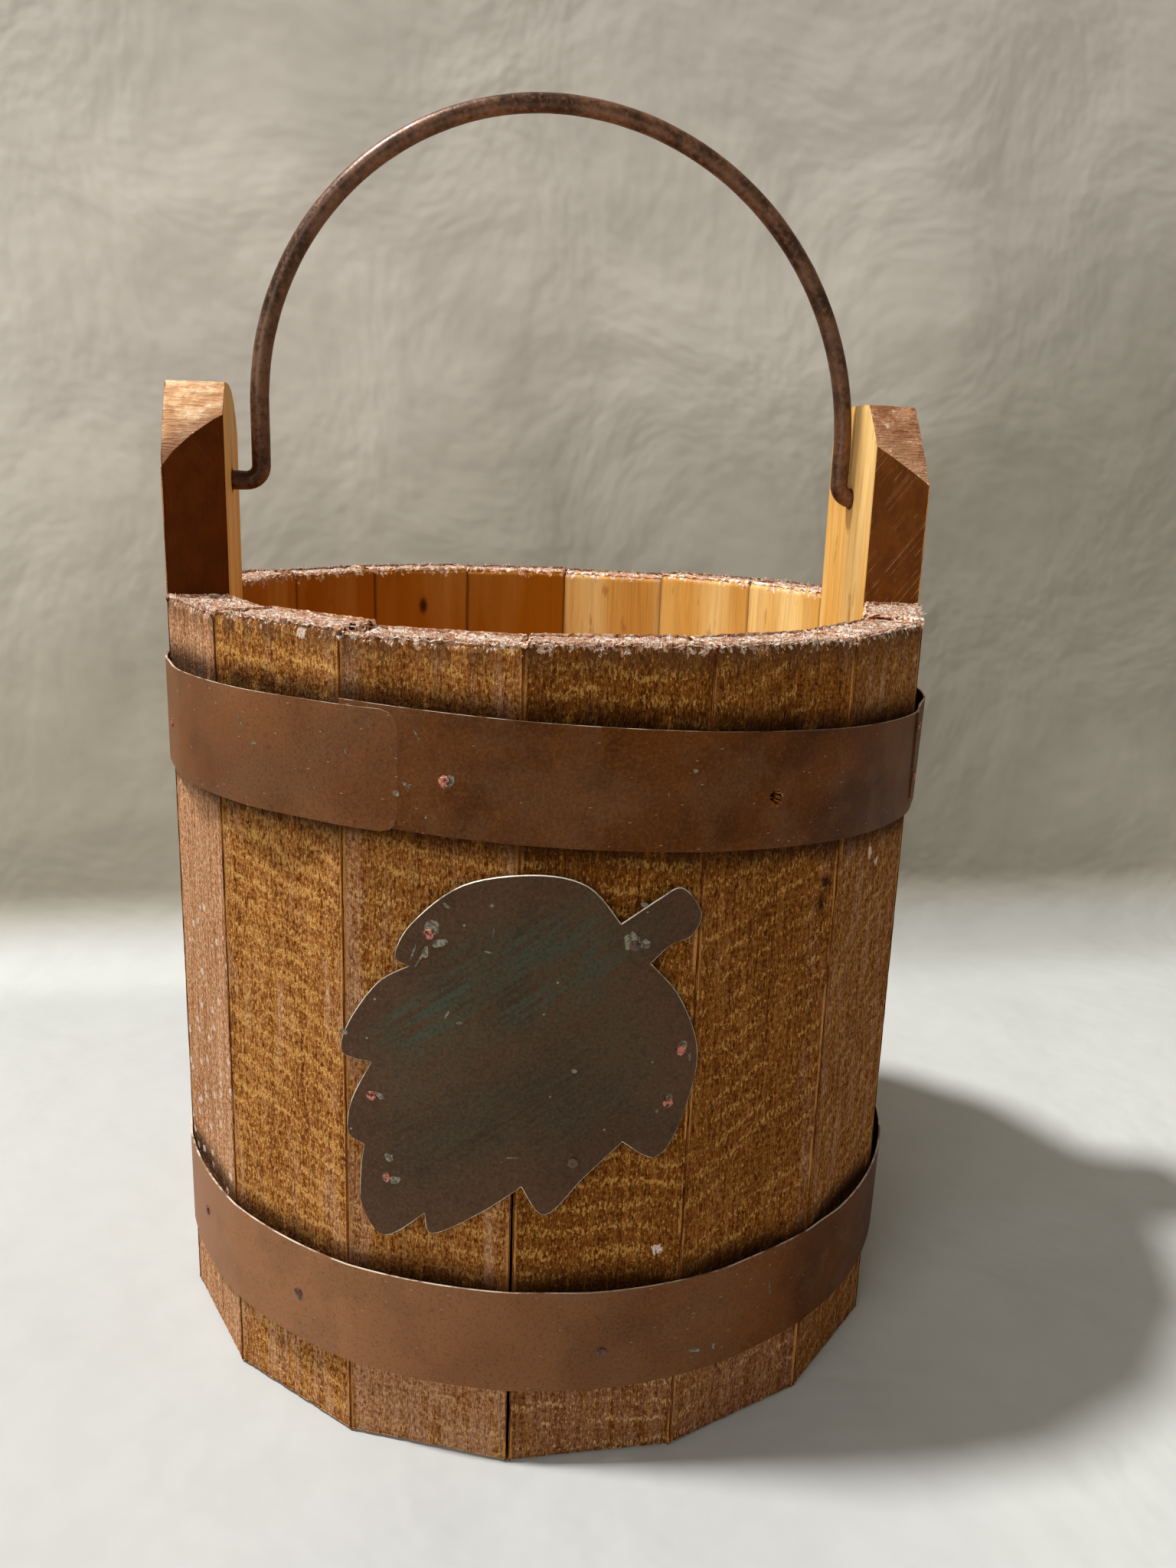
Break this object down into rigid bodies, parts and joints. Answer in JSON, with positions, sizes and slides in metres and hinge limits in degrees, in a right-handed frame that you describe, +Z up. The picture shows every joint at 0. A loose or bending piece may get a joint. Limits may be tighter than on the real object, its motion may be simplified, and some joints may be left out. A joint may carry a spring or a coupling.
{
  "type": "wooden stave pail",
  "caption": "Open wooden stave pail with raised ears, sheet-metal hoops, a leaf-shaped plate on the front and a swinging rod bail to carry it by.",
  "frame": {"origin": "on the floor, at the middle of the pail's base", "axes": "+Z up along the pail's axis; the bail's pivot runs along X through both ears, with the left ear at -X; the leaf plate is on the front, towards -Y"},
  "size_m": [0.2631, 0.2638, 0.4117],
  "materials": {
    "stave_wood": "rough-sawn, stained orange-brown outside, left pale inside",
    "board_wood": "planed, bare",
    "hoop_sheet": "matte brown coat, scuffed, bare at the cut edges",
    "leaf_sheet": "dark brown-grey patina, chipped bare edges",
    "nail_metal": "coppery red coat, chipped",
    "bail_rod": "dark brown, rubbed satin"
  },
  "bodies": {
    "pail": {"front_stave_1": "stave_wood", "front_stave_2": "stave_wood", "front_stave_3": "stave_wood", "front_stave_4": "stave_wood", "front_stave_5": "stave_wood", "front_stave_6": "stave_wood", "front_stave_7": "stave_wood", "back_stave_1": "stave_wood", "back_stave_2": "stave_wood", "back_stave_3": "stave_wood", "back_stave_4": "stave_wood", "back_stave_5": "stave_wood", "back_stave_6": "stave_wood", "back_stave_7": "stave_wood", "left_ear_stave": "stave_wood", "right_ear_stave": "stave_wood", "bottom_board": "board_wood", "upper_hoop_front_strip": "hoop_sheet", "upper_hoop_back_strip": "hoop_sheet", "lower_hoop": "hoop_sheet", "leaf_plate": "leaf_sheet", "upper_hoop_nails": "nail_metal", "lower_hoop_nails": "nail_metal", "leaf_plate_nails": "nail_metal"},
    "bail": {"bail_handle": "bail_rod"}
  },
  "joints": [
    {"name": "bail_swing", "type": "hinge", "parent": "pail", "child": "bail", "pos_m": [0, 0, 0.2863], "axis": [1, 0, 0], "range_deg": [-105, 105]}
  ]
}
